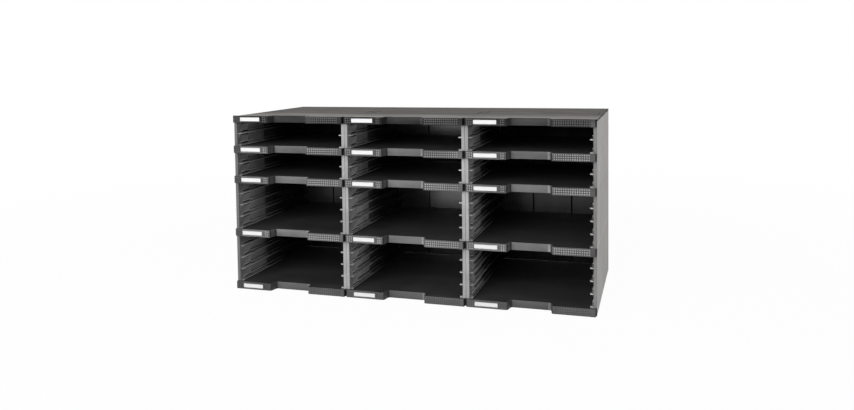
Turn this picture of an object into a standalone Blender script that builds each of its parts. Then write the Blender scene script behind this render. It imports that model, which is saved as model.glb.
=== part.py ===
"""Pigeonhole sorter: columns of moulded trays stacked on railed wall segments.

Metres, +Z up. The origin is under the middle of the sorter, on the floor, and the lips face -Y.
Each column is a stack of its own. A tray lies on the heads of the two wall segments below it, and the
next two segments stand on its margins. A tongue on each head locks into a slot in the tray, a skirt on
each segment closes the outside over the tray's edge, and a back panel slides down in grooves at the rear.
"""

import math

import bmesh
import bpy
from mathutils import Matrix, Vector

# The stack: columns from left to right, and the rails of each level from the floor up
COLUMN_NAMES = ("left", "middle", "right")
RAILS_PER_LEVEL = (4, 4, 2, 2)
MODULE_PITCH = 0.2410
DEPTH = 0.3310
RAIL_PITCH = 0.0234

# Clearances
SEAT_GAP = 0.0003
COLUMN_GAP = 0.0005

# Tray
LIP_HEIGHT = 0.0140
LIP_WALL = 0.0026
RIM_HEIGHT = 0.0015
PLATE_THICKNESS = 0.0030
GRAIN_INSET = 0.0006
END_BLOCK_LENGTH = 0.0105
END_CHAMFER = 0.0014
END_INSET = 0.0016
END_STEP = 0.0062
RECESS_LENGTH = 0.0740
RECESS_DEPTH = 0.0195
RECESS_FLARE = 0.0035
RECESS_FILLET = 0.0040
RIB_THICKNESS = 0.0020
KEEL_SPACING = 0.0810

# Label pocket in the lip, and its card
LABEL_INSET = 0.0172
WINDOW_LENGTH = 0.0440
WINDOW_HEIGHT = 0.0080
CARD_MARGIN = 0.0014
CARD_THICKNESS = 0.0009
CARD_DROP = 0.0005
POCKET_FRONT = 0.0010
POCKET_BACK = 0.0012
POCKET_FLOOR = 0.0012
POCKET_CHEEK = 0.0018
NOTCH_OFFSET = 0.0022
NOTCH_LENGTH = 0.0030
NOTCH_DEPTH = 0.0012

# Wall segment
WALL_SETBACK = 0.0090
WEB_THICKNESS = 0.0030
POST_THICKNESS = 0.0060
POST_FLAT = 0.0060
POST_DEPTH = 0.0430
POST_NECK = 0.0054
POST_SWELL = 0.0080
SWELL_DROP = 0.0035
RAIL_REACH = 0.0125
RAIL_THICKNESS = 0.0020
RAIL_SETBACK = 0.0015
RAIL_CORNER = 0.0015
FOOT_THICKNESS = 0.0030
HEAD_WIDTH = 0.0100
HEAD_THICKNESS = 0.0030
SKIRT_THICKNESS = 0.0022
TONGUE_LENGTH = 0.0560
TONGUE_THICKNESS = 0.0022
TONGUE_HEIGHT = 0.0024
TONGUE_INSET = 0.0075
TONGUE_PLACE = 0.1720
REAR_POST_DEPTH = 0.0110
REAR_FLANGE = 0.0040

# Back panel and the clips that hold neighbouring columns together
PANEL_THICKNESS = 0.0020
PANEL_BITE = 0.0030
GROOVE_WIDTH = 0.0030
GROOVE_DEPTH = 0.0009
GROOVE_SPACING = 0.0840
CLIP_THICKNESS = 0.0020
CLIP_HEIGHT = 0.0600
CLIP_LEVEL = 1

# Fineness of the round shapes, how far joined solids run into each other, and points taken as one
FILLET_STEPS = 3
SWELL_STEPS = 5
OVERLAP = 0.0010
MERGE_DISTANCE = 0.000001

# What follows from the sizes above
HALF_MODULE = (MODULE_PITCH - COLUMN_GAP) / 2
PLATE_TOP = LIP_HEIGHT - RIM_HEIGHT
PLATE_BOTTOM = PLATE_TOP - PLATE_THICKNESS
SHELF_HALF = HALF_MODULE - SKIRT_THICKNESS - SEAT_GAP
END_BLOCK_DEPTH = WALL_SETBACK - SEAT_GAP
WALL_REAR = DEPTH - CLIP_THICKNESS - SEAT_GAP
PANEL_BACK = WALL_REAR - REAR_FLANGE - SEAT_GAP
PANEL_FRONT = PANEL_BACK - PANEL_THICKNESS
SHELF_BACK = PANEL_FRONT - SEAT_GAP
RIB_INSET = HALF_MODULE - HEAD_WIDTH - SEAT_GAP - RIB_THICKNESS
LABEL_OFFSET = LABEL_INSET + WINDOW_LENGTH / 2 - HALF_MODULE
POCKET_START = GRAIN_INSET + POCKET_FRONT
POCKET_SLOT = CARD_THICKNESS + 2 * SEAT_GAP
CARD_LENGTH = WINDOW_LENGTH + 2 * CARD_MARGIN
CARD_HEIGHT = LIP_HEIGHT - POCKET_FLOOR - SEAT_GAP - CARD_DROP
WINDOW_LOW = (LIP_HEIGHT - WINDOW_HEIGHT) / 2

PARTS = "pigeonhole_sorter"
CUTTERS = "cutters"


def level_pitch(rails):
    """Height from one tray to the next, over a wall segment with this many rails."""
    return rails * RAIL_PITCH + LIP_HEIGHT + 2 * SEAT_GAP


def tray_heights():
    """Height of the underside of each tray's lip, from the floor up."""
    heights = [0.0]
    for rails in RAILS_PER_LEVEL:
        heights.append(heights[-1] + level_pitch(rails))
    return heights


def clear_scene():
    for old in list(bpy.data.objects):
        bpy.data.objects.remove(old, do_unlink=True)


def make_collection(name):
    made = bpy.data.collections.new(name)
    bpy.context.scene.collection.children.link(made)
    return made


def make_material(name, colour, roughness):
    made = bpy.data.materials.new(name)
    made.use_nodes = True
    shader = made.node_tree.nodes["Principled BSDF"]
    shader.inputs["Base Color"].default_value = (*colour, 1.0)
    shader.inputs["Roughness"].default_value = roughness
    shader.inputs["Metallic"].default_value = 0.0
    return made


# Outlines in the plane


def offset_path(corners, distance):
    """The open path moved to its left by distance, its corners mitred."""
    normals = []
    for a, b in zip(corners, corners[1:]):
        along = (Vector(b) - Vector(a)).normalized()
        normals.append(Vector((-along.y, along.x)))
    joints = [normals[0]]
    for before, after in zip(normals, normals[1:]):
        joints.append((before + after) / (1 + before.dot(after)))
    joints.append(normals[-1])
    return [tuple(Vector(c) + n * distance) for c, n in zip(corners, joints)]


def fillet_path(corners, radii):
    """The open path with its inner corners rounded, each by its own radius."""
    path = [corners[0]]
    for before, corner, after, radius in zip(corners, corners[1:], corners[2:], radii):
        back = (Vector(before) - Vector(corner)).normalized()
        on = (Vector(after) - Vector(corner)).normalized()
        half_angle = back.angle(on) / 2
        centre = Vector(corner) + (back + on).normalized() * radius / math.sin(half_angle)
        start = Vector(corner) + back * radius / math.tan(half_angle) - centre
        end = Vector(corner) + on * radius / math.tan(half_angle) - centre
        for step in range(FILLET_STEPS + 1):
            arm = start.lerp(end, step / FILLET_STEPS).normalized() * radius
            path.append(tuple(centre + arm))
    path.append(corners[-1])
    return path


def lip_path(half_length, inset):
    """Front edge of the lip from left to right, with its finger recess, moved back by inset."""
    mouth = RECESS_LENGTH / 2 + RECESS_FLARE
    floor = RECESS_LENGTH / 2
    corners = [
        (-half_length, GRAIN_INSET),
        (-mouth, GRAIN_INSET),
        (-floor, RECESS_DEPTH),
        (floor, RECESS_DEPTH),
        (mouth, GRAIN_INSET),
        (half_length, GRAIN_INSET),
    ]
    inner = RECESS_FILLET - inset
    outer = RECESS_FILLET + inset
    return fillet_path(offset_path(corners, inset), (inner, outer, outer, inner))


# Solids


def link_cutter(made):
    """Keep a helper solid out of the model: wire display, and not rendered."""
    bpy.data.collections[CUTTERS].objects.link(made)
    made.hide_render = True
    made.display_type = "WIRE"
    return made


def prism(outline, z):
    """Helper solid: a closed outline in X and Y, filled and thickened between two heights."""
    curve = bpy.data.curves.new("outline", "CURVE")
    curve.dimensions = "2D"
    curve.fill_mode = "BOTH"
    curve.extrude = (z[1] - z[0]) / 2
    spline = curve.splines.new("POLY")
    spline.points.add(len(outline) - 1)
    for point, (along_x, along_y) in zip(spline.points, outline):
        point.co = (along_x, along_y, 0.0, 1.0)
    spline.use_cyclic_u = True
    drawn = link_cutter(bpy.data.objects.new("outline", curve))
    bpy.context.view_layer.update()
    evaluated = drawn.evaluated_get(bpy.context.evaluated_depsgraph_get())
    mesh = bpy.data.meshes.new_from_object(evaluated)
    bpy.data.objects.remove(drawn, do_unlink=True)
    work = bmesh.new()
    work.from_mesh(mesh)
    bmesh.ops.remove_doubles(work, verts=work.verts, dist=MERGE_DISTANCE)
    bmesh.ops.recalc_face_normals(work, faces=work.faces)
    for vertex in work.verts:
        vertex.co.z = z[0] if vertex.co.z < 0 else z[1]
    work.to_mesh(mesh)
    work.free()
    return link_cutter(bpy.data.objects.new("prism", mesh))


def box(x, y, z):
    """Helper block between two limits on each axis."""
    return prism([(x[0], y[0]), (x[1], y[0]), (x[1], y[1]), (x[0], y[1])], z)


def shape(base, joined, cut):
    """One mesh from a base solid, with other solids joined to it and then cut from it."""
    for tool in joined:
        modifier = base.modifiers.new("join", "BOOLEAN")
        modifier.operation = "UNION"
        modifier.object = tool
    for tool in cut:
        modifier = base.modifiers.new("cut", "BOOLEAN")
        modifier.operation = "DIFFERENCE"
        modifier.object = tool
    bpy.context.view_layer.update()
    evaluated = base.evaluated_get(bpy.context.evaluated_depsgraph_get())
    mesh = bpy.data.meshes.new_from_object(evaluated)
    for helper in (base, *joined, *cut):
        bpy.data.objects.remove(helper, do_unlink=True)
    return mesh


# Tray, from the front of its lip (Y 0) to its back edge, on the underside of its lip (Z 0)


def end_block(side, front):
    """Solid end of the lip from front back to the wall, stepped at the joint with the next column."""
    inner = side * (HALF_MODULE - END_BLOCK_LENGTH)
    shoulder = side * (HALF_MODULE - END_INSET)
    outer = side * HALF_MODULE
    outline = [
        (inner, front),
        (shoulder - side * END_CHAMFER, front),
        (shoulder, front + END_CHAMFER),
        (shoulder, END_STEP),
        (outer, END_STEP),
        (outer, END_BLOCK_DEPTH),
        (inner, END_BLOCK_DEPTH),
    ]
    return prism(outline, (0.0, LIP_HEIGHT))


def label_pocket():
    """Boss behind the lip for the label card, and the hollows to cut from it."""
    slot_half = CARD_LENGTH / 2 + SEAT_GAP
    left = LABEL_OFFSET - slot_half - POCKET_CHEEK
    window_left = LABEL_OFFSET - WINDOW_LENGTH / 2
    window_right = LABEL_OFFSET + WINDOW_LENGTH / 2
    notch = (window_right + NOTCH_OFFSET, window_right + NOTCH_OFFSET + NOTCH_LENGTH)
    right = notch[1] + POCKET_CHEEK
    slot = (POCKET_START, POCKET_START + POCKET_SLOT)
    slot_z = (POCKET_FLOOR, LIP_HEIGHT + OVERLAP)
    window_z = (WINDOW_LOW, WINDOW_LOW + WINDOW_HEIGHT)
    boss = box((left, right), (GRAIN_INSET, slot[1] + POCKET_BACK), (0.0, LIP_HEIGHT))
    hollows = [
        box((LABEL_OFFSET - slot_half, LABEL_OFFSET + slot_half), slot, slot_z),
        box((window_left, window_right), (-OVERLAP, POCKET_START + SEAT_GAP), window_z),
        box(notch, (-OVERLAP, GRAIN_INSET + NOTCH_DEPTH), window_z),
    ]
    return boss, hollows


def tray_mesh(plate_half, plate_back):
    """Tray with a plate of this half width and back edge, ribs below it and the lip in front."""
    front_half = min(plate_half, HALF_MODULE - END_INSET)
    right_edge = [(front_half, END_STEP), (plate_half, END_STEP), (plate_half, plate_back)]
    left_edge = [(-x, y) for x, y in reversed(right_edge)]
    outline = lip_path(front_half, LIP_WALL / 2) + right_edge + left_edge
    plate = prism(outline, (PLATE_BOTTOM, PLATE_TOP))

    band_half = HALF_MODULE - END_BLOCK_LENGTH / 2
    band = lip_path(band_half, 0.0) + lip_path(band_half, LIP_WALL)[::-1]
    boss, hollows = label_pocket()
    ends = [end_block(-1, GRAIN_INSET), end_block(1, 0.0)]
    joined = [prism(band, (0.0, LIP_HEIGHT)), *ends, boss]

    rib_z = (0.0, PLATE_BOTTOM + OVERLAP)
    rib_back = SHELF_BACK - OVERLAP
    for side in (-1, 1):
        flank = sorted((side * RIB_INSET, side * (RIB_INSET + RIB_THICKNESS)))
        joined.append(box(flank, (GRAIN_INSET + LIP_WALL / 2, rib_back), rib_z))
        keel = side * KEEL_SPACING / 2
        keel_x = (keel - RIB_THICKNESS / 2, keel + RIB_THICKNESS / 2)
        joined.append(box(keel_x, (RECESS_DEPTH, rib_back), rib_z))
    across = RIB_INSET + RIB_THICKNESS
    joined.append(box((-across, across), (rib_back - RIB_THICKNESS, rib_back), rib_z))

    slot_half = TONGUE_THICKNESS / 2 + SEAT_GAP
    slot_y = (TONGUE_PLACE - TONGUE_LENGTH / 2 - SEAT_GAP, TONGUE_PLACE + TONGUE_LENGTH / 2 + SEAT_GAP)
    for side in (-1, 1):
        middle = side * (HALF_MODULE - TONGUE_INSET)
        slot_x = (middle - slot_half, middle + slot_half)
        hollows.append(box(slot_x, slot_y, (PLATE_BOTTOM - OVERLAP, PLATE_TOP + OVERLAP)))
    return shape(plate, joined, hollows)


def card_mesh():
    """Label card, standing on its lower edge."""
    card = box((-CARD_LENGTH / 2, CARD_LENGTH / 2), (0.0, CARD_THICKNESS), (0.0, CARD_HEIGHT))
    return shape(card, [], [])


# Wall segment of the left side: outer face at X 0, front edge at Y 0, standing at Z 0


def wall_plan():
    """Plan of the wall: flat front strip, thin web, and a rear post with the back panel's groove."""
    rear = WALL_REAR - WALL_SETBACK
    post_start = rear - REAR_POST_DEPTH
    strip = POST_FLAT + OVERLAP
    groove = (SHELF_BACK - WALL_SETBACK, rear - REAR_FLANGE)
    bed = POST_THICKNESS - PANEL_BITE
    return [
        (0.0, 0.0),
        (POST_THICKNESS, 0.0),
        (POST_THICKNESS, strip),
        (WEB_THICKNESS, strip),
        (WEB_THICKNESS, post_start),
        (POST_THICKNESS, post_start),
        (POST_THICKNESS, groove[0]),
        (bed, groove[0]),
        (bed, groove[1]),
        (POST_THICKNESS, groove[1]),
        (POST_THICKNESS, rear),
        (0.0, rear),
    ]


def swollen_post(height):
    """Front post behind the flat strip, which swells under each rail and necks in above the next one."""
    root = WEB_THICKNESS / 2
    low = FOOT_THICKNESS / 2
    high = height - HEAD_THICKNESS / 2
    steps = round(SWELL_STEPS * (high - low) / RAIL_PITCH)
    crest = FOOT_THICKNESS - RAIL_THICKNESS / 2 - SWELL_DROP
    outline = [(root, high), (root, low)]
    for step in range(steps + 1):
        z = low + (high - low) * step / steps
        share = (1 + math.cos(2 * math.pi * (z - crest) / RAIL_PITCH)) / 2
        outline.append((POST_NECK + (POST_SWELL - POST_NECK) * share, z))
    post = prism(outline, (-POST_DEPTH, -POST_FLAT))
    post.data.transform(Matrix.Rotation(math.pi / 2, 4, "X"))
    return post


def rail(low, high):
    """Ledge along the wall's inner side, its front corner cut off to lead a shelf in."""
    root = WEB_THICKNESS / 2
    end = WALL_REAR - WALL_SETBACK - REAR_POST_DEPTH + OVERLAP
    outline = [
        (root, RAIL_SETBACK),
        (RAIL_REACH - RAIL_CORNER, RAIL_SETBACK),
        (RAIL_REACH, RAIL_SETBACK + RAIL_CORNER),
        (RAIL_REACH, end),
        (root, end),
    ]
    return prism(outline, (low, high))


def wall_mesh(rails, skirt_drop):
    """Left wall segment with this many rails, its skirt hanging skirt_drop below where it stands."""
    height = level_pitch(rails) - PLATE_THICKNESS - 2 * SEAT_GAP
    rear = WALL_REAR - WALL_SETBACK
    core = prism(wall_plan(), (0.0, height))
    joined = [swollen_post(height), rail(0.0, FOOT_THICKNESS)]
    for number in range(1, rails):
        top = FOOT_THICKNESS + number * RAIL_PITCH
        joined.append(rail(top - RAIL_THICKNESS, top))

    head_end = rear - REAR_POST_DEPTH + OVERLAP
    joined.append(box((0.0, HEAD_WIDTH), (0.0, head_end), (height - HEAD_THICKNESS, height)))
    tongue_y = TONGUE_PLACE - WALL_SETBACK
    joined.append(
        box(
            (TONGUE_INSET - TONGUE_THICKNESS / 2, TONGUE_INSET + TONGUE_THICKNESS / 2),
            (tongue_y - TONGUE_LENGTH / 2, tongue_y + TONGUE_LENGTH / 2),
            (height - OVERLAP, height + TONGUE_HEIGHT),
        )
    )

    flange = rear - REAR_FLANGE
    skirt = [
        (0.0, 0.0),
        (SKIRT_THICKNESS, 0.0),
        (SKIRT_THICKNESS, flange),
        (POST_THICKNESS, flange),
        (POST_THICKNESS, rear),
        (0.0, rear),
    ]
    joined.append(prism(skirt, (-skirt_drop, OVERLAP)))
    return shape(core, joined, [])


def mirrored(mesh):
    """The same piece for the other side."""
    made = mesh.copy()
    made.transform(Matrix.Scale(-1, 4, (1, 0, 0)))
    made.flip_normals()
    return made


def panel_mesh(height):
    """Back panel of one column, with two upright grooves in its front face."""
    half = HALF_MODULE - POST_THICKNESS + PANEL_BITE - SEAT_GAP
    panel = box((-half, half), (0.0, PANEL_THICKNESS), (0.0, height))
    grooves = []
    for side in (-1, 1):
        middle = side * GROOVE_SPACING / 2
        groove_x = (middle - GROOVE_WIDTH / 2, middle + GROOVE_WIDTH / 2)
        grooves.append(box(groove_x, (-OVERLAP, GROOVE_DEPTH), (-OVERLAP, height + OVERLAP)))
    return shape(panel, [], grooves)


def clip_mesh():
    """Channel clip that grips the rear posts of two neighbouring columns, seen from above as a U."""
    inner = COLUMN_GAP / 2 + POST_THICKNESS + SEAT_GAP
    outer = inner + CLIP_THICKNESS
    tip = -REAR_FLANGE
    seat = SEAT_GAP
    back = SEAT_GAP + CLIP_THICKNESS
    outline = [
        (-outer, tip),
        (-inner, tip),
        (-inner, seat),
        (inner, seat),
        (inner, tip),
        (outer, tip),
        (outer, back),
        (-outer, back),
    ]
    return shape(prism(outline, (0.0, CLIP_HEIGHT)), [], [])


# Assembly


def place(name, mesh, material, parent, location):
    """One named piece of the sorter on its column."""
    made = bpy.data.objects.new(name, mesh)
    bpy.data.collections[PARTS].objects.link(made)
    made.data.materials.clear()
    made.data.materials.append(material)
    made.parent = parent
    made.location = location
    return made


def add_column(name, middle, meshes, materials):
    """Trays, wall segments, label cards and back panel of one column."""
    column = bpy.data.objects.new(name + "_column", None)
    bpy.data.collections[PARTS].objects.link(column)
    column.location = (middle, -DEPTH / 2, 0.0)

    heights = tray_heights()
    last = len(heights) - 1
    for number, height in enumerate(heights):
        kind = {0: "base", last: "cover"}.get(number, f"shelf_{number}")
        shade = "end_tray" if number in (0, last) else "shelf_tray"
        tray = {0: "base", last: "cover"}.get(number, "shelf")
        place(f"{name}_{kind}_tray", meshes[tray], materials[shade], column, (0.0, 0.0, height))
        card_at = (LABEL_OFFSET, POCKET_START + SEAT_GAP, height + POCKET_FLOOR + SEAT_GAP)
        place(f"{name}_{kind}_label", meshes["card"], materials["label"], column, card_at)

    for level, rails in enumerate(RAILS_PER_LEVEL):
        stand = heights[level] + PLATE_TOP + SEAT_GAP
        left, right = meshes["walls"][level]
        edge = HALF_MODULE
        for side, mesh, x in (("left", left, -edge), ("right", right, edge)):
            wall_name = f"{name}_level_{level + 1}_{side}_wall"
            place(wall_name, mesh, materials["wall"], column, (x, WALL_SETBACK, stand))

    panel_at = (0.0, PANEL_FRONT, PLATE_TOP + SEAT_GAP)
    place(name + "_back_panel", meshes["panel"], materials["panel"], column, panel_at)


def wall_pairs():
    """Left and right wall meshes of each level; the lowest skirt reaches down to the floor."""
    pairs = []
    made = {}
    for level, rails in enumerate(RAILS_PER_LEVEL):
        drop = PLATE_TOP if level == 0 else PLATE_THICKNESS + SEAT_GAP
        if (rails, drop) not in made:
            left = wall_mesh(rails, drop)
            made[rails, drop] = (left, mirrored(left))
        pairs.append(made[rails, drop])
    return pairs


def main():
    clear_scene()
    make_collection(PARTS)
    make_collection(CUTTERS)
    materials = {
        "shelf_tray": make_material("dark_grey_plastic", (0.130, 0.130, 0.128), 0.5),
        "end_tray": make_material("charcoal_plastic", (0.085, 0.085, 0.083), 0.5),
        "wall": make_material("light_grey_plastic", (0.36, 0.36, 0.35), 0.5),
        "panel": make_material("back_plastic", (0.25, 0.25, 0.24), 0.5),
        "label": make_material("white_card", (0.85, 0.85, 0.85), 0.7),
        "clip": make_material("clip_plastic", (0.08, 0.08, 0.08), 0.5),
    }
    heights = tray_heights()
    cover = tray_mesh(HALF_MODULE, WALL_REAR)
    shelf = tray_mesh(SHELF_HALF, SHELF_BACK)
    base = tray_mesh(SHELF_HALF, PANEL_BACK)
    panel_height = heights[-1] + PLATE_BOTTOM - PLATE_TOP - 2 * SEAT_GAP
    meshes = {
        "cover": cover,
        "shelf": shelf,
        "base": base,
        "card": card_mesh(),
        "walls": wall_pairs(),
        "panel": panel_mesh(panel_height),
    }
    first = -(len(COLUMN_NAMES) - 1) / 2
    middles = [(first + number) * MODULE_PITCH for number in range(len(COLUMN_NAMES))]
    for name, middle in zip(COLUMN_NAMES, middles):
        add_column(name, middle, meshes, materials)

    clip = clip_mesh()
    clip_z = heights[CLIP_LEVEL] + (level_pitch(RAILS_PER_LEVEL[CLIP_LEVEL]) + LIP_HEIGHT - CLIP_HEIGHT) / 2
    for name, left, right in zip(COLUMN_NAMES[1:], middles, middles[1:]):
        clip_at = ((left + right) / 2, WALL_REAR - DEPTH / 2, clip_z)
        place(name + "_joining_clip", clip, materials["clip"], None, clip_at)
    bpy.context.view_layer.update()


main()
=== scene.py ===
"""Looks of the pigeonhole sorter: grained dark trays, satin light grey walls, white label cards."""

import math
from collections import namedtuple

import bmesh
import bpy
from mathutils import Matrix, Vector


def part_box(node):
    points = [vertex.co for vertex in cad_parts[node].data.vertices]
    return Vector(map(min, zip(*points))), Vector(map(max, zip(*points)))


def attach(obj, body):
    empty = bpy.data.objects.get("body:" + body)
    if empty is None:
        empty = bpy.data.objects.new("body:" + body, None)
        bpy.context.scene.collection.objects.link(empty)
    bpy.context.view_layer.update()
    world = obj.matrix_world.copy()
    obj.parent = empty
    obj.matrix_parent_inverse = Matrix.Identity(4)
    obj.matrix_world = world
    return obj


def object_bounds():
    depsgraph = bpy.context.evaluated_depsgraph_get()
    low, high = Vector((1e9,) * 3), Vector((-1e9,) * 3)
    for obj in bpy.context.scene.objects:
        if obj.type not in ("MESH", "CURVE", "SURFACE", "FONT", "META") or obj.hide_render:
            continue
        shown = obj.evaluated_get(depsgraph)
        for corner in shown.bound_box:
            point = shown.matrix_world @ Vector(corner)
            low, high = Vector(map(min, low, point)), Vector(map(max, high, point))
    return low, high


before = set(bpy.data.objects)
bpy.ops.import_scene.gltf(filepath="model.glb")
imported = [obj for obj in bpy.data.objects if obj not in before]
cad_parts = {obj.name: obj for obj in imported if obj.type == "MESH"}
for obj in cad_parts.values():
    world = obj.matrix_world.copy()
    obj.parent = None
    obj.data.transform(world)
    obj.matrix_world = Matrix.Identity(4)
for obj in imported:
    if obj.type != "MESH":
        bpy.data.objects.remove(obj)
cad_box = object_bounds()

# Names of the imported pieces, and the rails of each level from the floor up
COLUMNS = ("left", "middle", "right")
TRAYS = ("base", "shelf_1", "shelf_2", "shelf_3", "cover")
SIDES = ("left", "right")
RAILS_PER_LEVEL = (4, 4, 2, 2)
BODY = "sorter"

# The photograph's frame in pixels, and the camera that sees the sorter as it does: its place in metres,
# its turns in degrees and its sensor in millimetres
FRAME_WIDTH = 854
FRAME_HEIGHT = 410
FOCAL_PIXELS = 777.6
AXIS_ROW = 100.0
CAMERA_PLACE = (0.4674, -1.5540, 0.4603)
CAMERA_YAW = 16.69
CAMERA_PITCH = 2.92
CAMERA_ROLL = -0.68
SENSOR_WIDTH = 36.0

# Sizes of the solids, taken or worked out from those of the CAD model
LIP_HEIGHT = 0.0140
LIP_INSET = 0.0006
PLATE_TOP = 0.0125
STAND_HEIGHT = 0.0128
END_BLOCK_LENGTH = 0.0105
END_SHOULDER = 0.0030
JOINT_WIDTH = 0.0016
WINDOW_LEFT = 0.0172
WINDOW_LENGTH = 0.0440
NOTCH_END = 0.0052
MOUTH_HALF = 0.0438
RECESS_HALF = 0.0370
RAIL_PITCH = 0.0234
RAIL_THICKNESS = 0.0020
FOOT_THICKNESS = 0.0030
WEB_THICKNESS = 0.0030
POST_FLAT = 0.0060
POST_DEPTH = 0.0430
REAR_POST_DEPTH = 0.0110

# Grain pads on the lip's flat stretches, and how deep the added pieces root in the solids
PAD_PITCH = 0.0041
PAD_ROWS = 3
PAD_SIDE = 0.0026
PAD_CROWN = 0.85
PAD_CLEARANCE = 0.00005
PAD_MARGIN = 0.0006
ROOT = 0.0001

# Second ridge above each rail, which makes a slot with it
RIB_RISE = 0.0054
RIB_REACH = 0.0060
RIB_THICKNESS = 0.0012
RIB_TIP = 0.7
RIB_START = 0.0140

# Softness of the edges between zones of colour, as shares of a piece's box or of the rail pitch
SHARP_EDGE = 0.001
CRISP_EDGE = 0.002
SOFT_EDGE = 0.01
WIDE_EDGE = 0.02

# Parts of a face's normal along an axis, between which a zone that depends on its facing sets in
FACING = (0.5, 0.9)
WALL_FACING = (0.5, 0.8)
NOT_OUTWARD = (0.6, 0.3)
LEANING = (0.1, 0.3)
SLOPING = (0.25, 0.45)

# Zones of the trays, as shares of their boxes, and where the lit end of the recess starts
# The cover's fade is that of a painted sheen on its top
COVER_SHEEN_FADE = (0.05, 0.4)
# The crest's fade is that of painted light rising up the recess
CREST_LIGHT_FADE = (0.2, 1.0)
LIP_SHARES = (0.075, 0.065)
FACE_SHARES = (0.04, 0.03)
LIT_END_START = 0.0315

# Zones of the walls and their ribs, as shares across and up them, and the strength of a tray's shade
POST_SHARES = (0.49, 0.53)
RAIL_SHARES = (0.78, 0.82)
RIB_ROOT_SHARES = (0.7, 0.6)
SEAM_SHARE = 0.05
UNDER_TRAY = (0.70, 0.96)
UNDER_TRAY_SHADE = 0.75

# Depths and heights of zones in the walls. A slant says how much nearer a zone starts for each metre up
# These zones are painted light and shade: walls lit near the front, shaded deeper in and higher up
LIT_DEPTH = 0.1150
DARK_DEPTH = 0.1850
LIT_SLANT = 0.5
RAIL_LIT_DEPTH = 0.0700
RAIL_DARK_DEPTH = 0.2000
RAIL_SLANT = 0.4
RAIL_TOP_START = 0.0040
POST_EDGE = 0.0040
STEP_SHADE = 0.0060
STEP_EDGE = 0.001
WEB_EDGE = 0.003
# Painted shadows under the ridges on the post: where they start and how tall they are
RIDGE_SHADOW_START = 0.0160
RIDGE_SHADOW_HEIGHT = 0.0034

# Unevenness of the plastic: noise, its depth in the colour and in the roughness, and pale edges
CLOUD_SCALE = 16.0
CLOUD_DETAIL = 4.0
CLOUD_RANGE = (0.32, 0.68)
CLOUD_STEP = 4
CLOUD_TONE = 0.16
STREAK_DETAIL = 3.0
STREAK_RANGE = (0.35, 0.65)
STREAK_TONE = 0.14
TOP_TONE = 0.20
TOP_STREAK_TONE = 0.26
SIDE_TONE = 0.10
UNEVEN = 0.05
TOP_UNEVEN = 0.10
SPECK_SCALE = 1000.0
SPECK_DETAIL = 2.0
SPECK_STRENGTH = 0.6
GRAIN_HEIGHT = 0.00005
EDGE_RADIUS = 0.0009
EDGE_RANGE = (0.99, 0.75)
# Pale edges are painted wear and painted highlight, stronger on the left walls than on the right
EDGE_LIFT = 34
EDGE_LIMIT = 235
EDGE_TONE = 0.45
WALL_EDGE_TONES = {"left": 0.18, "right": 0.03}
PANEL_EDGE_TONE = 0.08

# Noise scales along X, Y and Z of streaks across the trays, up the walls and along the outer sides
ACROSS = (6.0, 30.0, 60.0)
UPRIGHT = (60.0, 40.0, 10.0)
ALONG_SIDE = (60.0, 12.0, 7.0)

# Gloss: roughness and specular levels, and the clear coat on the front of one back panel
SATIN = 0.5
COVER_ROUGHNESS = 0.65
PANEL_ROUGHNESS = 0.2
SPECULAR = 0.3
SHELF_SPECULAR = 0.2
COVER_SPECULAR = 0.08
PANEL_SPECULAR = 0.35
GLOSSY_COLUMN = "middle"
GLOSS_ROUGHNESS = 0.2
GLOSS_IOR = 1.7

# Colours as 8-bit sRGB levels in plain light, shares of such levels, and how warm they are
# Shifts of the shelves' levels are painted light: the lower shelves lighter, the top one darker
SHELF_LIGHT_SHIFTS = {"shelf_1": 11, "shelf_2": 3, "shelf_3": -6}
TRAY_LEVEL = 100
# Painted light on the pads and up the recess crest, painted shade on the ground between the pads
TRAY_PAD_LIGHT_LEVEL = 164
TRAY_GROUND_SHADE_LEVEL = 76
TRAY_CREST_LIGHT_LEVEL = 116
TRAY_FLOOR_LEVEL = 58
COVER_LEVEL = 54
# Painted sheen on the cover's top, lighter at the front and fading to the rear
COVER_TOP_SHEEN_LEVEL = 162
COVER_REAR_SHEEN_LEVEL = 90
COVER_PAD_LIGHT_LEVEL = 98
COVER_GROUND_SHADE_LEVEL = 40
COVER_CREST_LIGHT_LEVEL = 66
BASE_LEVEL = 86
BASE_PAD_LIGHT_LEVEL = 96
BASE_GROUND_SHADE_LEVEL = 76
BASE_CREST_LIGHT_LEVEL = 100
# Painted shade on the recess's slopes, and painted light on its right end as a share of the crest
SLOPE_SHADE_LEVEL = 44
LIT_END_SHARE = 1.25
SHADED_END_LEVELS = {"left": 60, "right": 84}
SHADED_GRAIN_LEVEL = 74
JOINT_LEVEL = 12
WALL_LEVEL = 172
# Painted shade: inner wall fronts darker on the upper levels, outer sides darker on the lower ones
WALL_FRONT_SHADE_LEVELS = (172, 172, 166, 154)
OUTER_SIDE_SHADE_LEVELS = (163, 166, 172, 172)
OUTER_FRONT_LEVELS = {"left": 106, "right": 126}
# Share of the inner side's levels on the walls that end the row: painted shade
OUTER_SHADE_SHARE = 0.88
# Painted light and shade on the walls' inner sides by depth: lit post and web, a highlight, shade deeper
# in
POST_FRONT_SHADE_LEVEL = 150
POST_LIT_LEVEL = 210
POST_EDGE_HIGHLIGHT_LEVEL = 235
STEP_SHADE_LEVEL = 130
WEB_LIT_LEVEL = 208
WEB_REAR_SHADE_LEVEL = 120
WALL_DEEP_SHADE_LEVEL = 58
# Painted shade on the swells beside the front strip
SWELL_SHADE_LEVELS = {"left": 60, "right": 26}
# Painted shadow under the ridges and on the lower half of the foot
PAINTED_SHADOW_LEVEL = 10
SEAM_LEVEL = 185
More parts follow.
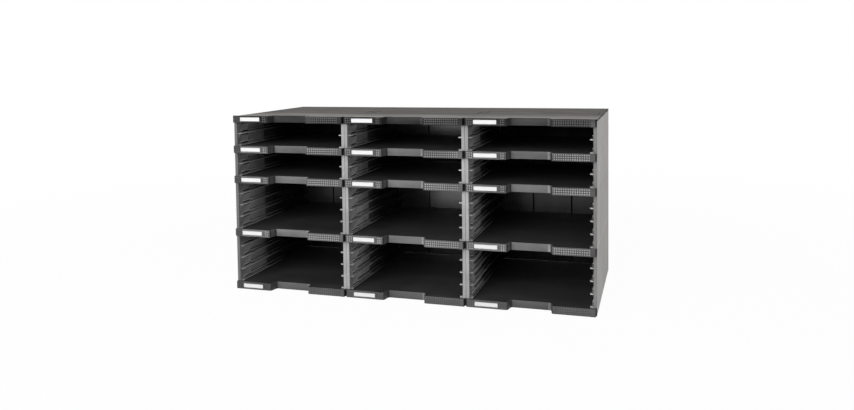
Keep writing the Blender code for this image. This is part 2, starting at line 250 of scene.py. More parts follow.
# Painted light on the rails' tips and front ends, painted shade on their tops and on the foot's top
RAIL_LIT_LEVEL = 215
RAIL_END_LIGHT_LEVELS = {"left": 120, "right": 190}
RAIL_TOP_SHADE_LEVELS = {"left": 130, "right": 50}
FOOT_TOP_SHADE_LEVEL = 50
# Ribs: painted light at the tips, painted shade at the roots and deeper in
RIB_LIT_LEVEL = 225
RIB_ROOT_SHADE_LEVEL = 90
RIB_DEEP_SHADE_LEVEL = 45
PANEL_LEVEL = 32
# Painted shade in the back panels' grooves
GROOVE_SHADE_LEVEL = 24
CLIP_LEVEL = 70
WARM_TONE = 0.05
WALL_WARMTH = 0.03
RIB_WARMTH = 0.01
PANEL_WARMTH = 0.01

# Label cards: fibres between two levels, under a clear film
CARD_LEVELS = (234, 244)
FIBRE_SCALE = 900.0
FIBRE_DETAIL = 3.0
CARD_ROUGHNESS = 0.6
FILM_WEIGHT = 0.3
FILM_ROUGHNESS = 0.15

# How the back panels bow between the trays that hold them, in the tall openings and then in the small
# ones: slopes left and right of the left groove at a set height, and their growth for each metre above
# it. The last number of each panel is its turn to the right
GROOVE_SHARE = 0.32
GROOVE_FLOOR = (0.1, 0.3)
GROOVE_LEAN = 0.4
BOW_HEIGHTS = (0.14, 0.30)
BOW_SPLIT = 0.228
BOW_EDGE = 0.0005
PANEL_BOWS = {
    "left": ((0.06, 0.06, 1.2), (0.3, 0.3, 0.0), 0.12),
    "middle": ((-0.01, 0.06, 1.2), (-0.01, 0.0, 2.6), 0.0),
    "right": ((0.06, 0.06, 1.2), (0.3, 0.3, 0.0), 0.0),
}

# World, floor and lamps: the floor's glow grows from near to far, and the lamps' power is in watts
WHITE = (1.0, 1.0, 1.0, 1.0)
WORLD_LIGHT = 0.35
FLOOR_SIZE = 6.0
FLOOR_COLOUR = (0.86, 0.86, 0.86, 1.0)
FLOOR_ROUGHNESS = 0.9
FLOOR_FADE = (0.8, 2.0)
FLOOR_GLOW = (0.97, 1.0)
FRONT_LAMP = {
    "place": (-0.7, -2.4, 1.15),
    "aim": (0.0, 0.0, 0.15),
    "width": 2.2,
    "height": 1.4,
    "power": 45.0,
}
SIDE_LAMP = {
    "place": (1.8, -1.3, 1.1),
    "aim": (0.36, 0.0, 0.15),
    "width": 1.2,
    "height": 1.2,
    "power": 5.0,
}

# A wall: its side of the column, whether it ends the row, its height, its foot's top and its front's level
Wall = namedtuple("Wall", "side outer height foot front_level")


def linear(level):
    """Scene-linear value of an 8-bit sRGB level."""
    share = level / 255
    return share / 12.92 if share <= 0.04045 else ((share + 0.055) / 1.055) ** 2.4


def grey(level, warmth=0.0):
    """Grey colour of that level, a little warmer where warmth is above 0."""
    value = linear(level)
    return (value * (1 + warmth), value, value * (1 - warmth), 1.0)


class Graph:
    """Node tree of a material or of the world, with the steps that the looks are made of."""

    def __init__(self, tree):
        self.nodes = tree.nodes
        self.links = tree.links

    def feed(self, node, inputs):
        """Link a node's inputs to sockets, and set those that get a plain number or colour."""
        for name, value in inputs.items():
            if isinstance(value, bpy.types.NodeSocket):
                self.links.new(value, node.inputs[name])
            else:
                node.inputs[name].default_value = value

    def add(self, kind, inputs):
        made = self.nodes.new(kind)
        self.feed(made, inputs)
        return made.outputs

    def coordinates(self, output):
        return self.nodes.new("ShaderNodeTexCoord").outputs[output]

    def axes(self, output):
        """X, Y and Z of a point, of its share of the piece's box, or of the way its face looks."""
        return self.add("ShaderNodeSeparateXYZ", {"Vector": self.coordinates(output)})

    def noise(self, vector, scale, detail):
        inputs = {"Vector": vector, "Scale": scale, "Detail": detail}
        return self.add("ShaderNodeTexNoise", inputs)["Fac"]

    def vector(self, operation, *vectors):
        made = self.nodes.new("ShaderNodeVectorMath")
        made.operation = operation
        self.feed(made, dict(enumerate(vectors)))
        return made.outputs

    def math(self, operation, *values):
        made = self.nodes.new("ShaderNodeMath")
        made.operation = operation
        self.feed(made, dict(enumerate(values)))
        return made.outputs["Value"]

    def product(self, first, *others):
        for other in others:
            first = self.math("MULTIPLY", first, other)
        return first

    def slant(self, value, across, slope):
        """The value, raised by a slope across it."""
        return self.math("MULTIPLY_ADD", across, slope, value)

    def ramp(self, value, low, high, start=0.0, end=1.0, clamp=True):
        """The value mapped from low and high to start and end, and clamped there unless clamp is off."""
        made = self.nodes.new("ShaderNodeMapRange")
        made.clamp = clamp
        ends = {"From Min": low, "From Max": high, "To Min": start, "To Max": end}
        self.feed(made, {"Value": value, **ends})
        return made.outputs["Result"]

    def between(self, value, low, high, soft):
        """1 where the value lies between low and high, with soft edges."""
        rise = self.ramp(value, low - soft, low + soft)
        fall = self.ramp(value, high + soft, high - soft)
        return self.product(rise, fall)

    def towards(self, facing, sign, turns=FACING):
        """1 where a face looks along an axis, or against it where the sign is -1."""
        start, end = turns
        return self.ramp(facing, sign * start, sign * end)

    def from_side(self, share, side):
        """The share across a piece, counted from its left or its right side."""
        return share if side == "left" else self.ramp(share, 0.0, 1.0, 1.0, 0.0)

    def sawtooth(self, value, start, pitch):
        """The value counted from start in pitches, without its whole part."""
        return self.math("FRACT", self.ramp(value, start, start + pitch, clamp=False))

    def mixed(self, first, second, share):
        """The first value, turned to the second by a share."""
        return self.add("ShaderNodeMix", {"A": first, "B": second, "Factor": share})["Result"]

    def colours(self, first, second, share, blend="MIX"):
        """The first colour, turned to the second by a share."""
        made = self.nodes.new("ShaderNodeMix")
        made.data_type = "RGBA"
        made.blend_type = blend
        self.feed(made, {"A": first, "B": second, "Factor": share})
        return made.outputs["Result"]

    def over(self, colour, level, *shares, warmth=0.0):
        """A grey level laid over the colour, as strong as the product of the shares."""
        return self.colours(colour, grey(level, warmth), self.product(*shares))

    def toned(self, colour, share, depth):
        """The colour made lighter and darker by up to a depth, as a share of itself."""
        gain = self.ramp(share, 0.0, 1.0, 1.0 - depth, 1.0 + depth)
        return self.colours(colour, gain, 1.0, "MULTIPLY")

    def bumped(self, normal, height, strength, distance):
        """The normal, turned by a height field."""
        inputs = {"Normal": normal, "Height": height, "Strength": strength, "Distance": distance}
        return self.add("ShaderNodeBump", inputs)["Normal"]


# Materials


def new_material(name):
    material = bpy.data.materials.new(name)
    material.use_nodes = True
    graph = Graph(material.node_tree)
    return material, graph, graph.nodes["Principled BSDF"]


def moulded_plastic(
    name,
    level,
    streaks,
    zones=None,
    warmth=0.0,
    roughness=SATIN,
    uneven=UNEVEN,
    specular=SPECULAR,
    tones=(CLOUD_TONE, STREAK_TONE),
    wear_and_highlight=EDGE_TONE,
    bow=None,
    glossy_front=False,
):
    """Injection-moulded plastic: fine grain, clouded and streaked colour, uneven gloss and paler edges of
    painted wear and highlight.
    """
    material, graph, shader = new_material(name)
    at = graph.coordinates("Object")
    cloud = graph.ramp(graph.noise(at, CLOUD_SCALE, CLOUD_DETAIL), *CLOUD_RANGE)
    stretched = graph.vector("MULTIPLY", at, streaks)["Vector"]
    streak = graph.ramp(graph.noise(stretched, 1.0, STREAK_DETAIL), *STREAK_RANGE)
    speck = graph.noise(at, SPECK_SCALE, SPECK_DETAIL)

    darker, lighter = (grey(level + step, warmth) for step in (-CLOUD_STEP, CLOUD_STEP))
    colour = graph.colours(darker, lighter, cloud)
    if zones is not None:
        colour = zones(graph, colour)
    for share, depth in zip((cloud, streak), tones):
        colour = graph.toned(colour, share, depth)

    rounded = graph.add("ShaderNodeBevel", {"Radius": EDGE_RADIUS})["Normal"]
    plain = graph.add("ShaderNodeNewGeometry", {})["Normal"]
    alike = graph.vector("DOT_PRODUCT", rounded, plain)["Value"]
    edge = graph.ramp(alike, *EDGE_RANGE, 0.0, wear_and_highlight)
    colour = graph.over(colour, min(level + EDGE_LIFT, EDGE_LIMIT), edge, warmth=warmth)

    normal = rounded
    if bow is not None:
        normal = graph.bumped(normal, bow(graph), 1.0, 1.0)
    normal = graph.bumped(normal, speck, SPECK_STRENGTH, GRAIN_HEIGHT)
    gloss = graph.ramp(cloud, 0.0, 1.0, roughness - uneven, roughness + uneven)
    graph.feed(shader, {"Base Color": colour, "Roughness": gloss, "Normal": normal})
    graph.feed(shader, {"Specular IOR Level": specular})
    if glossy_front:
        front = graph.towards(graph.axes("Normal")["Y"], -1)
        graph.feed(shader, {"Coat Weight": front, "Coat Normal": normal})
        graph.feed(shader, {"Coat Roughness": GLOSS_ROUGHNESS, "Coat IOR": GLOSS_IOR})
    return material


def label_card(name):
    """Blank white card under a clear film: faint fibres in the colour, a soft gloss on top."""
    material, graph, shader = new_material(name)
    fibre = graph.noise(graph.coordinates("Object"), FIBRE_SCALE, FIBRE_DETAIL)
    darker, lighter = (grey(level) for level in CARD_LEVELS)
    graph.feed(shader, {"Base Color": graph.colours(darker, lighter, fibre)})
    graph.feed(shader, {"Roughness": CARD_ROUGHNESS})
    graph.feed(shader, {"Coat Weight": FILM_WEIGHT, "Coat Roughness": FILM_ROUGHNESS})
    return material


# Zones of colour on the trays


def tray_zones(floor_or_top_sheen_level, ground_shade_level, crest_light_level, rear_sheen_level=None, shaded_end=None):
    """Zones of a tray: its floor, or a painted sheen on a cover's top, then its recess, its grain's ground
    and its ends.
    """

    def zones(graph, colour):
        share = graph.axes("Generated")
        facing = graph.axes("Normal")
        upward = graph.towards(facing["Z"], 1)
        if rear_sheen_level:
            to_rear = graph.ramp(share["Y"], *COVER_SHEEN_FADE)
            colour = graph.over(colour, floor_or_top_sheen_level, upward, warmth=WARM_TONE)
            colour = graph.over(colour, rear_sheen_level, upward, to_rear, warmth=WARM_TONE)
        else:
            rim = (PLATE_TOP + LIP_HEIGHT) / 2 / LIP_HEIGHT
            below_rim = graph.ramp(share["Z"], rim + SOFT_EDGE, rim - SOFT_EDGE)
            colour = graph.over(colour, floor_or_top_sheen_level, upward, below_rim)
        colour = recess_zones(graph, colour, crest_light_level)
        return lip_zones(graph, colour, ground_shade_level, shaded_end)

    return zones


def recess_zones(graph, colour, crest_light_level):
    """Zones of the finger recess: painted light rising up its face to the crest, painted shade on the
    slopes at its ends, and a painted lit strip at the right.
    """
    share = graph.axes("Generated")
    facing = graph.axes("Normal")
    width = 2 * half_module()
    forward = graph.towards(facing["Y"], -1)
    mouth = MOUTH_HALF / width
    in_mouth = graph.between(share["X"], 0.5 - mouth, 0.5 + mouth, CRISP_EDGE)
    rise = graph.ramp(share["Z"], *CREST_LIGHT_FADE)
    colour = graph.over(colour, crest_light_level, forward, in_mouth, rise)
    in_lip = graph.ramp(share["Y"], *LIP_SHARES)
    leaning = graph.towards(facing["Y"], -1, LEANING)
    for turn in (-1, 1):
        sloping = graph.towards(facing["X"], turn, SLOPING)
        colour = graph.over(colour, SLOPE_SHADE_LEVEL, in_lip, leaning, sloping)
    start, end = (0.5 + place / width for place in (LIT_END_START, RECESS_HALF))
    lit_end = graph.between(share["X"], start, end, CRISP_EDGE)
    return graph.over(colour, LIT_END_SHARE * crest_light_level, forward, in_lip, lit_end)


def lip_zones(graph, colour, ground_shade_level, shaded_end):
    """Zones of the lip's face: painted shade on the ground between the grain's pads, a shaded end of the
    row, and dark joints.
    """
    share = graph.axes("Generated")
    width = 2 * half_module()
    forward = graph.towards(graph.axes("Normal")["Y"], -1)
    band = PAD_ROWS * PAD_PITCH / LIP_HEIGHT
    in_band = graph.between(share["Z"], 0.5 - band / 2, 0.5 + band / 2, WIDE_EDGE)
    for start, end in pad_zones():
        grained = graph.between(share["X"], 0.5 + start / width, 0.5 + end / width, SHARP_EDGE)
        colour = graph.over(colour, ground_shade_level, forward, in_band, grained)
    at_face = graph.ramp(share["Y"], *FACE_SHARES)
    if shaded_end:
        length = (WINDOW_LEFT if shaded_end == "left" else END_BLOCK_LENGTH) / width
        out = graph.from_side(share["X"], shaded_end)
        at_end = graph.ramp(out, length + CRISP_EDGE, length - CRISP_EDGE)
        colour = graph.over(colour, SHADED_END_LEVELS[shaded_end], forward, at_face, at_end)
    for side in SIDES:
        out = graph.from_side(share["X"], side)
        joint = graph.ramp(out, JOINT_WIDTH / width + SHARP_EDGE, JOINT_WIDTH / width)
        colour = graph.over(colour, JOINT_LEVEL, joint, at_face)
    return colour


def grain_zones(graph, colour):
    """The shaded outer end of the left column's grain."""
    share = graph.axes("Generated")
    start, end = pad_zones()[0]
    length = (end - start) / (2 * half_module() - END_SHOULDER - END_BLOCK_LENGTH)
    at_end = graph.ramp(share["X"], length + CRISP_EDGE, length - CRISP_EDGE)
    return graph.over(colour, SHADED_GRAIN_LEVEL, at_end)


# Zones of colour on the walls and their ribs


def wall_zones(wall):
    """Zones of a wall, most of them painted light and shade: its front, the seam outside, the inner side
    by depth, and the rails.
    """

    def zones(graph, colour):
        colour = wall_front(graph, colour, wall)
        colour = wall_seam(graph, colour, wall)
        colour = wall_depths(graph, colour, wall)
        return wall_rails(graph, colour, wall)

    return zones


def above_rail(graph, wall):
    """Height above the rail below, as a share of the rail pitch."""
    up = graph.axes("Generated")["Z"]
    return graph.sawtooth(up, wall.foot / wall.height, RAIL_PITCH / wall.height)


def inner_faces(graph, wall):
    """1 on the faces of a wall that look neither outwards nor forwards."""
    facing = graph.axes("Normal")
    outward = -1 if wall.side == "left" else 1
    not_outward = graph.towards(facing["X"], outward, NOT_OUTWARD)
    not_forward = graph.towards(facing["Y"], -1, WALL_FACING[::-1])
    return graph.product(not_outward, not_forward)


def wall_front(graph, colour, wall):
    """Zones of the faces that look forward: painted shade deep inside, the front strip, and beside it
    painted shade on the swells and painted light on the rail ends.
    """
    share = graph.axes("Generated")
    length = wall_length()
    forward = graph.towards(graph.axes("Normal")["Y"], -1, WALL_FACING)
    unlit = graph.ramp(share["Y"], LIT_DEPTH / length, DARK_DEPTH / length)
    colour = graph.over(colour, WALL_DEEP_SHADE_LEVEL, forward, unlit)
    in_strip = graph.ramp(share["Y"], (POST_FLAT + STEP_EDGE) / length, POST_FLAT / length)
    front = graph.product(in_strip, forward)
    colour = graph.over(colour, wall.front_level, front)
    if wall.outer and wall.side == "left":
        return colour
    out = graph.from_side(share["X"], wall.side)
    past_post = graph.product(front, graph.ramp(out, *POST_SHARES))
    colour = graph.over(colour, SWELL_SHADE_LEVELS[wall.side], past_post)
    underside = 1.0 - RAIL_THICKNESS / RAIL_PITCH
    at_rail = graph.ramp(above_rail(graph, wall), underside - SOFT_EDGE, underside)
    return graph.over(colour, RAIL_END_LIGHT_LEVELS[wall.side], past_post, at_rail)


def wall_seam(graph, colour, wall):
    """The paler seam along the foot of the outer side."""
    outward = -1 if wall.side == "left" else 1
    outside = graph.towards(graph.axes("Normal")["X"], outward)
    seam = graph.ramp(graph.axes("Generated")["Z"], SEAM_SHARE, 0.5 * SEAM_SHARE)
    return graph.over(colour, SEAM_LEVEL, outside, seam, warmth=WARM_TONE)


def wall_depths(graph, colour, wall):
    """Painted light and shade on the inner side: lit post and web by depth, a highlight on the post's
    edge, shade behind the post, deeper in, below the tray above and below the ridges, all dimmer on a wall
    that ends the row.
    """
    share = graph.axes("Generated")
    length = wall_length()
    inside = inner_faces(graph, wall)
    outer_shade = OUTER_SHADE_SHARE if wall.outer else 1.0
    colour = graph.over(colour, POST_FRONT_SHADE_LEVEL * outer_shade, inside)
    for level, start, end in (
        (POST_LIT_LEVEL, POST_FLAT, POST_DEPTH),
        (POST_EDGE_HIGHLIGHT_LEVEL, POST_DEPTH - POST_EDGE, POST_DEPTH - 0.5 * POST_EDGE),
        (STEP_SHADE_LEVEL, POST_DEPTH, POST_DEPTH + STEP_EDGE),
        (WEB_LIT_LEVEL, POST_DEPTH + STEP_SHADE, POST_DEPTH + 1.5 * STEP_SHADE),
        (WEB_REAR_SHADE_LEVEL, LIT_DEPTH, LIT_DEPTH + WEB_EDGE),
    ):
        past = graph.ramp(share["Y"], start / length, end / length)
        colour = graph.over(colour, level * outer_shade, inside, past)
    slanted = graph.slant(share["Y"], share["Z"], LIT_SLANT * wall.height / length)
    deep = graph.ramp(slanted, LIT_DEPTH / length, DARK_DEPTH / length)
    colour = graph.over(colour, WALL_DEEP_SHADE_LEVEL, inside, deep)
    under_tray = graph.ramp(share["Z"], *UNDER_TRAY, 0.0, UNDER_TRAY_SHADE)
    colour = graph.over(colour, WALL_DEEP_SHADE_LEVEL, inside, under_tray)
    on_post = graph.between(share["Y"], RIDGE_SHADOW_START / length, POST_DEPTH / length, CRISP_EDGE)
    rise = above_rail(graph, wall)
    for underside in (RAIL_PITCH - RAIL_THICKNESS, RIB_RISE - RIB_THICKNESS):
        low, high = ((underside - drop) / RAIL_PITCH for drop in (RIDGE_SHADOW_HEIGHT, 0.0))
        ridge_shadow = graph.between(rise, low, high, WIDE_EDGE)
        colour = graph.over(colour, PAINTED_SHADOW_LEVEL, inside, on_post, ridge_shadow)
    return colour


def wall_rails(graph, colour, wall):
    """Painted light and shade on the rails and the foot: lit tips, shaded tops, and shade on the foot's
    lower half.
    """
    share = graph.axes("Generated")
    length = wall_length()
    inside = inner_faces(graph, wall)
    out = graph.from_side(share["X"], wall.side)
    slanted = graph.slant(share["Y"], share["Z"], RAIL_SLANT * wall.height / length)
    lit = graph.ramp(slanted, RAIL_LIT_DEPTH / length, RAIL_DARK_DEPTH / length, 1.0, 0.0)
    tips = graph.product(inside, graph.ramp(out, *RAIL_SHARES), lit)
    colour = graph.over(colour, RAIL_LIT_LEVEL, tips)
    upward = graph.towards(graph.axes("Normal")["Z"], 1)
    start = RAIL_TOP_START / length
    tops = graph.product(tips, upward, graph.ramp(share["Y"], start, 2 * start))
    colour = graph.over(colour, RAIL_TOP_SHADE_LEVELS[wall.side], tops)
    foot = wall.foot / wall.height
    on_foot = graph.ramp(share["Z"], foot + RAIL_THICKNESS / wall.height, foot)
    colour = graph.over(colour, FOOT_TOP_SHADE_LEVEL, tops, on_foot)
    half_foot = foot - 0.5 * FOOT_THICKNESS / wall.height
    low_foot = graph.ramp(share["Z"], half_foot + CRISP_EDGE, half_foot - CRISP_EDGE)
    return graph.over(colour, PAINTED_SHADOW_LEVEL, inside, low_foot)


def rib_zones(rails, side):
    """The ribs get painted light at their tips and painted shade at their roots and to the rear, as the
    rails do, the upper ones sooner.
    """
    rise = (rails - 1) * RAIL_PITCH + RIB_THICKNESS

    def zones(graph, colour):
        share = graph.axes("Generated")
        length = wall_length() - RIB_START - REAR_POST_DEPTH
        out = graph.from_side(share["X"], side)
        colour = graph.over(colour, RIB_ROOT_SHADE_LEVEL, graph.ramp(out, *RIB_ROOT_SHARES))
        slanted = graph.slant(share["Y"], share["Z"], RAIL_SLANT * rise / length)
        start, end = ((depth - RIB_START) / length for depth in (RAIL_LIT_DEPTH, RAIL_DARK_DEPTH))
        return graph.over(colour, RIB_DEEP_SHADE_LEVEL, graph.ramp(slanted, start, end))

    return zones


# Back panels


def panel_zones(graph, colour):
    """Painted shade in the upright grooves of the back panel's front."""
    sunk = graph.ramp(graph.axes("Generated")["Y"], *GROOVE_FLOOR)
    forward = graph.towards(graph.axes("Normal")["Y"], -1)
    return graph.over(colour, GROOVE_SHADE_LEVEL, sunk, forward)


def panel_bow(tall, small, turn):
    """Height field of a panel whose front leans and bows between its trays, by slopes beside a groove."""

    def bow(graph):
        share = graph.axes("Generated")
        at = graph.axes("Object")
        sunk = graph.ramp(share["Y"], *GROOVE_FLOOR)
        groove = (GROOVE_SHARE - SOFT_EDGE, GROOVE_SHARE + SOFT_EDGE)
        stretches = []
        for (left_lean, right_lean, growth), middle in zip((tall, small), BOW_HEIGHTS):
            above = graph.ramp(at["Z"], 0.0, 1.0, -middle, 1.0 - middle, clamp=False)
            slope = graph.ramp(share["X"], *groove, -left_lean, -right_lean)
            slope = graph.slant(slope, above, -growth / 2)
            slope = graph.mixed(slope, -GROOVE_LEAN, sunk)
            stretches.append(graph.product(above, slope))
        upper = graph.ramp(at["Z"], BOW_SPLIT - BOW_EDGE, BOW_SPLIT + BOW_EDGE)
        leaned = graph.mixed(*stretches, upper)
        turned = graph.slant(leaned, at["X"], -turn)
        forward = graph.towards(graph.axes("Normal")["Y"], -1)
        return graph.product(turned, forward)

    return bow


# Pieces added to the solids


def half_module():
    low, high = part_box("middle_cover_tray")
    return (high.x - low.x) / 2


def wall_length():
    low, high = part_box("middle_level_1_left_wall")
    return high.y - low.y


def add_piece(name, work, material):
    """One mesh object from the work mesh, riding on the sorter."""
    bmesh.ops.recalc_face_normals(work, faces=work.faces)
    mesh = bpy.data.meshes.new(name)
    work.to_mesh(mesh)
    work.free()
    mesh.materials.append(material)
    made = bpy.data.objects.new(name, mesh)
    bpy.context.scene.collection.objects.link(made)
    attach(made, BODY)


def pad_zones():
    """Flat stretches of the lip's face that carry the grain, from the middle of the column."""
    half = half_module()
    window_left = WINDOW_LEFT - half
    notch_right = window_left + WINDOW_LENGTH + NOTCH_END
    return (
        (END_SHOULDER - half, window_left),
        (notch_right, -MOUTH_HALF),
        (MOUTH_HALF, half - END_BLOCK_LENGTH),
    )


def add_pad(work, x, z, root_y, crown_y):
    """Truncated pyramid on the lip's face, its small end forward."""
    for vertex in bmesh.ops.create_cube(work, size=1.0)["verts"]:
        forward = vertex.co.y < 0
        reach = PAD_SIDE * (PAD_CROWN if forward else 1.0)
        y = crown_y if forward else root_y
        vertex.co = (x + vertex.co.x * reach, y, z + vertex.co.z * reach)


def lip_grain(column, kind, material):
    """The moulded grain of one tray's lip: rows of small pads on its flat stretches."""
    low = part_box(f"{column}_{kind}_tray")[0]
    left, right = (corner.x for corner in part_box(f"{column}_cover_tray"))
    middle = (left + right) / 2
    root_y = low.y + LIP_INSET + ROOT
    crown_y = low.y + PAD_CLEARANCE
    first_row = (LIP_HEIGHT - (PAD_ROWS - 1) * PAD_PITCH) / 2
    work = bmesh.new()
    for start, end in pad_zones():
        room = end - start - 2 * PAD_MARGIN - PAD_SIDE
        count = int(room / PAD_PITCH) + 1
        first = (start + end - (count - 1) * PAD_PITCH) / 2
        for number in range(count):
            for row in range(PAD_ROWS):
                x = middle + first + number * PAD_PITCH
                z = low.z + first_row + row * PAD_PITCH
                add_pad(work, x, z, root_y, crown_y)
    add_piece(f"{column}_{kind}_lip_grain", work, material)


def add_bar(work, root_x, tip_x, y, z):
    """Closed bar from the web at root_x out to tip_x, thinner at its tip."""
    middle = (z[0] + z[1]) / 2
    height = z[1] - z[0]
    for vertex in bmesh.ops.create_cube(work, size=1.0)["verts"]:
        at_tip = vertex.co.x > 0
        rise = vertex.co.z * height * (RIB_TIP if at_tip else 1.0)
        depth = y[1] if vertex.co.y > 0 else y[0]
        vertex.co = (tip_x if at_tip else root_x, depth, middle + rise)


def stand_of(column, level):
    """Height at which the walls of a level stand on their tray."""
    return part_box(f"{column}_{TRAYS[level]}_tray")[0].z + STAND_HEIGHT


def wall_ribs(column, level, side, material):
    """Ridges along the wall's inner side, one above each rail."""
    name = f"{column}_level_{level + 1}_{side}_wall"
    low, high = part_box(name)
    inward = 1 if side == "left" else -1
    web = (low.x if side == "left" else high.x) + inward * WEB_THICKNESS
    along = (low.y + RIB_START, high.y - REAR_POST_DEPTH)
    first_rail = stand_of(column, level) + FOOT_THICKNESS
    work = bmesh.new()
    for number in range(RAILS_PER_LEVEL[level]):
        top = first_rail + number * RAIL_PITCH + RIB_RISE
        root_x = web - inward * ROOT
        tip_x = web + inward * RIB_REACH
        add_bar(work, root_x, tip_x, along, (top - RIB_THICKNESS, top))
    add_piece(f"{name}_ribs", work, material)


# Finishes of the pieces


def paint(node, material):
    """Give a CAD node its finish."""
    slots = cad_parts[node].data.materials
    slots.clear()
    slots.append(material)


def cover_finish(column, end, grained):
    """Plastic and grain of a column's cover tray."""
    levels = (COVER_TOP_SHEEN_LEVEL, COVER_GROUND_SHADE_LEVEL, COVER_CREST_LIGHT_LEVEL, COVER_REAR_SHEEN_LEVEL)
    plastic = moulded_plastic(
        f"{column}_cover",
        COVER_LEVEL,
        ACROSS,
        zones=tray_zones(*levels, shaded_end=end),
        roughness=COVER_ROUGHNESS,
        uneven=TOP_UNEVEN,
        specular=COVER_SPECULAR,
        tones=(TOP_TONE, TOP_STREAK_TONE),
    )
    grain = moulded_plastic(f"{column}_cover_grain", COVER_PAD_LIGHT_LEVEL, ACROSS, zones=grained)
    return plastic, grain, "end_tray"


def base_finish(column, end, grained):
    """Plastic and grain of a column's base tray."""
    levels = (TRAY_FLOOR_LEVEL, BASE_GROUND_SHADE_LEVEL, BASE_CREST_LIGHT_LEVEL)
    zones = tray_zones(*levels, shaded_end=end)
    plastic = moulded_plastic(f"{column}_base", BASE_LEVEL, ACROSS, zones=zones)
    grain = moulded_plastic(f"{column}_base_grain", BASE_PAD_LIGHT_LEVEL, ACROSS, zones=grained)
    return plastic, grain, "end_tray"


def shelf_finish(column, kind, end, grained):
    """Plastic and grain of one of a column's shelf trays."""
    name = f"{column}_{kind}"
    # Painted light: the shelf's levels shift with its height
    light_shift = SHELF_LIGHT_SHIFTS[kind]
    levels = (TRAY_FLOOR_LEVEL, TRAY_GROUND_SHADE_LEVEL + light_shift, TRAY_CREST_LIGHT_LEVEL + light_shift)
    zones = tray_zones(*levels, shaded_end=end)
    gloss = SHELF_SPECULAR
    plastic = moulded_plastic(name, TRAY_LEVEL + light_shift, ACROSS, zones=zones, specular=gloss)
    pads = TRAY_PAD_LIGHT_LEVEL + light_shift
    grain = moulded_plastic(f"{name}_grain", pads, ACROSS, zones=grained, specular=gloss)
    return plastic, grain, "shelf_tray"


def tray_finish(column, kind):
    """Plastic, grain and slot of a tray. The outer ends of the row are shaded."""
    end = column if column in SIDES else None
    grained = grain_zones if column == "left" else None
    if kind == "cover":
        return cover_finish(column, end, grained)
    if kind == "base":
        return base_finish(column, end, grained)
    return shelf_finish(column, kind, end, grained)


def wall_finish(column, level, side):
    """Plastic of one wall, with painted light and shade: darker in front and streaked outside where it
    ends the row.
    """
    name = f"{column}_level_{level + 1}_{side}_wall"
    low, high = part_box(name)
    outer = column == side
    wall = Wall(
        side=side,
        outer=outer,
        height=high.z - low.z,
        foot=stand_of(column, level) + FOOT_THICKNESS - low.z,
        front_level=OUTER_FRONT_LEVELS[side] if outer else WALL_FRONT_SHADE_LEVELS[level],
    )
    return moulded_plastic(
        f"{name}_plastic",
        OUTER_SIDE_SHADE_LEVELS[level] if outer else WALL_LEVEL,
        ALONG_SIDE if outer else UPRIGHT,
        zones=wall_zones(wall),
        warmth=WALL_WARMTH,
        tones=(SIDE_TONE, SIDE_TONE) if outer else (CLOUD_TONE, STREAK_TONE),
        wear_and_highlight=WALL_EDGE_TONES[side],
    )


def rib_finish(rails, side):
    """Plastic of the ribs on a wall with that many rails."""
    name = f"ribs_{rails}_{side}_plastic"
    zones = rib_zones(rails, side)
    return moulded_plastic(name, RIB_LIT_LEVEL, UPRIGHT, zones=zones, warmth=RIB_WARMTH)


def panel_finish(column):
    """Plastic of a back panel, with a glossier front in one column."""
    return moulded_plastic(
        f"{column}_panel",
        PANEL_LEVEL,
        UPRIGHT,
        zones=panel_zones,
        warmth=PANEL_WARMTH,
        roughness=PANEL_ROUGHNESS,
        specular=PANEL_SPECULAR,
        wear_and_highlight=PANEL_EDGE_TONE,
        bow=panel_bow(*PANEL_BOWS[column]),
        glossy_front=column == GLOSSY_COLUMN,
    )


def dress():
    """Give every CAD node its finish, and add the grain and the ribs."""
    kinds = sorted(set(RAILS_PER_LEVEL))
    ribs = {(rails, side): rib_finish(rails, side) for rails in kinds for side in SIDES}
    card = label_card("label_card")
    for column in COLUMNS:
        for kind in TRAYS:
            plastic, grain, slot = tray_finish(column, kind)
            paint(f"{column}_{kind}_tray", plastic)
            paint(f"{column}_{kind}_label", card)
            lip_grain(column, kind, grain)
        for level, rails in enumerate(RAILS_PER_LEVEL):
            for side in SIDES:
                wall = wall_finish(column, level, side)
                paint(f"{column}_level_{level + 1}_{side}_wall", wall)
                wall_ribs(column, level, side, ribs[rails, side])
        paint(f"{column}_back_panel", panel_finish(column))
    clip = moulded_plastic("clip_plastic", CLIP_LEVEL, UPRIGHT)
    for column in COLUMNS[1:]:
        paint(f"{column}_joining_clip", clip)


# Stage, light and camera


def seen_or_mirrored(graph):
    """1 for what is seen, directly, in gloss or through clear parts, and 0 for the light that is given."""
    path = graph.add("ShaderNodeLightPath", {})
    seen = graph.math("MAXIMUM", path["Is Camera Ray"], path["Is Glossy Ray"])
    return graph.math("MAXIMUM", seen, path["Is Transmission Ray"])


def white_world():
    """Even light from all round at a set strength, seen as plain white."""
    world = bpy.data.worlds.new("studio")
    bpy.context.scene.world = world
    world.use_nodes = True
    graph = Graph(world.node_tree)
    strength = graph.ramp(seen_or_mirrored(graph), 0.0, 1.0, WORLD_LIGHT, 1.0)
    graph.feed(graph.nodes["Background"], {"Color": WHITE, "Strength": strength})


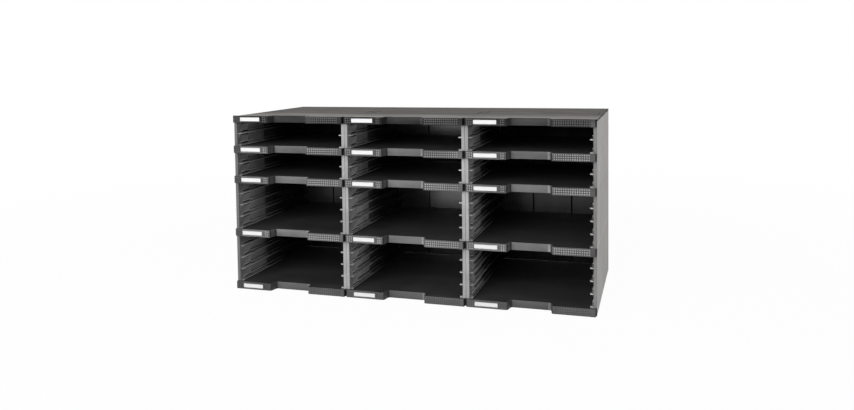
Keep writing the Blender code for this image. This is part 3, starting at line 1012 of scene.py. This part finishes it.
def floor_white():
    """Pale matt floor that keeps a soft shadow near the sorter and fades to the white all round it."""
    material, graph, shader = new_material("floor_white")
    graph.feed(shader, {"Base Color": FLOOR_COLOUR, "Roughness": FLOOR_ROUGHNESS})
    graph.feed(shader, {"Specular IOR Level": 0.0})
    glow = graph.add("ShaderNodeEmission", {"Color": WHITE})["Emission"]
    away = graph.vector("LENGTH", graph.coordinates("Object"))["Value"]
    fade = graph.ramp(away, *FLOOR_FADE, *FLOOR_GLOW)
    share = graph.product(seen_or_mirrored(graph), fade)
    mix = graph.add("ShaderNodeMixShader", {"Fac": share, 1: shader.outputs["BSDF"], 2: glow})
    graph.feed(graph.nodes["Material Output"], {"Surface": mix["Shader"]})
    return material


def pale_floor():
    """Floor under the sorter, as part of the stage."""
    mesh = bpy.data.meshes.new("floor")
    work = bmesh.new()
    bmesh.ops.create_grid(work, x_segments=1, y_segments=1, size=FLOOR_SIZE)
    work.to_mesh(mesh)
    work.free()
    mesh.materials.append(floor_white())
    floor = bpy.data.objects.new("floor", mesh)
    floor.location.z = cad_box[0].z
    bpy.context.scene.collection.objects.link(floor)


def soft_box(name, place, aim, width, height, power):
    """Area lamp at place that faces aim."""
    lamp = bpy.data.lights.new(name, "AREA")
    lamp.shape = "RECTANGLE"
    lamp.size = width
    lamp.size_y = height
    lamp.energy = power
    made = bpy.data.objects.new(name, lamp)
    made.location = place
    made.rotation_euler = (Vector(aim) - Vector(place)).to_track_quat("-Z", "Y").to_euler()
    bpy.context.scene.collection.objects.link(made)


def photo_camera():
    """Camera at the photograph's viewpoint, its axis above the picture's middle as in a rising lens."""
    turns = (CAMERA_YAW, CAMERA_PITCH, CAMERA_ROLL)
    yaw, pitch, roll = (math.radians(turn) for turn in turns)
    level = math.cos(pitch)
    forward = Vector((-math.sin(yaw) * level, math.cos(yaw) * level, -math.sin(pitch)))
    level_right = Vector((math.cos(yaw), math.sin(yaw), 0.0))
    level_up = level_right.cross(forward)
    right = level_right * math.cos(roll) + level_up * math.sin(roll)
    up = level_up * math.cos(roll) - level_right * math.sin(roll)
    camera = bpy.data.cameras.new("photo_camera")
    camera.sensor_width = SENSOR_WIDTH
    camera.lens = FOCAL_PIXELS / FRAME_WIDTH * SENSOR_WIDTH
    camera.shift_y = (AXIS_ROW - FRAME_HEIGHT / 2) / FRAME_WIDTH
    made = bpy.data.objects.new("photo_camera", camera)
    turn = Matrix((right, up, -forward)).transposed().to_4x4()
    made.matrix_world = Matrix.Translation(CAMERA_PLACE) @ turn
    bpy.context.scene.collection.objects.link(made)
    bpy.context.scene.camera = made


dress()
white_world()
pale_floor()
photo_camera()
soft_box("front", **FRONT_LAMP)
soft_box("side", **SIDE_LAMP)
bpy.context.scene.view_settings.view_transform = "Standard"
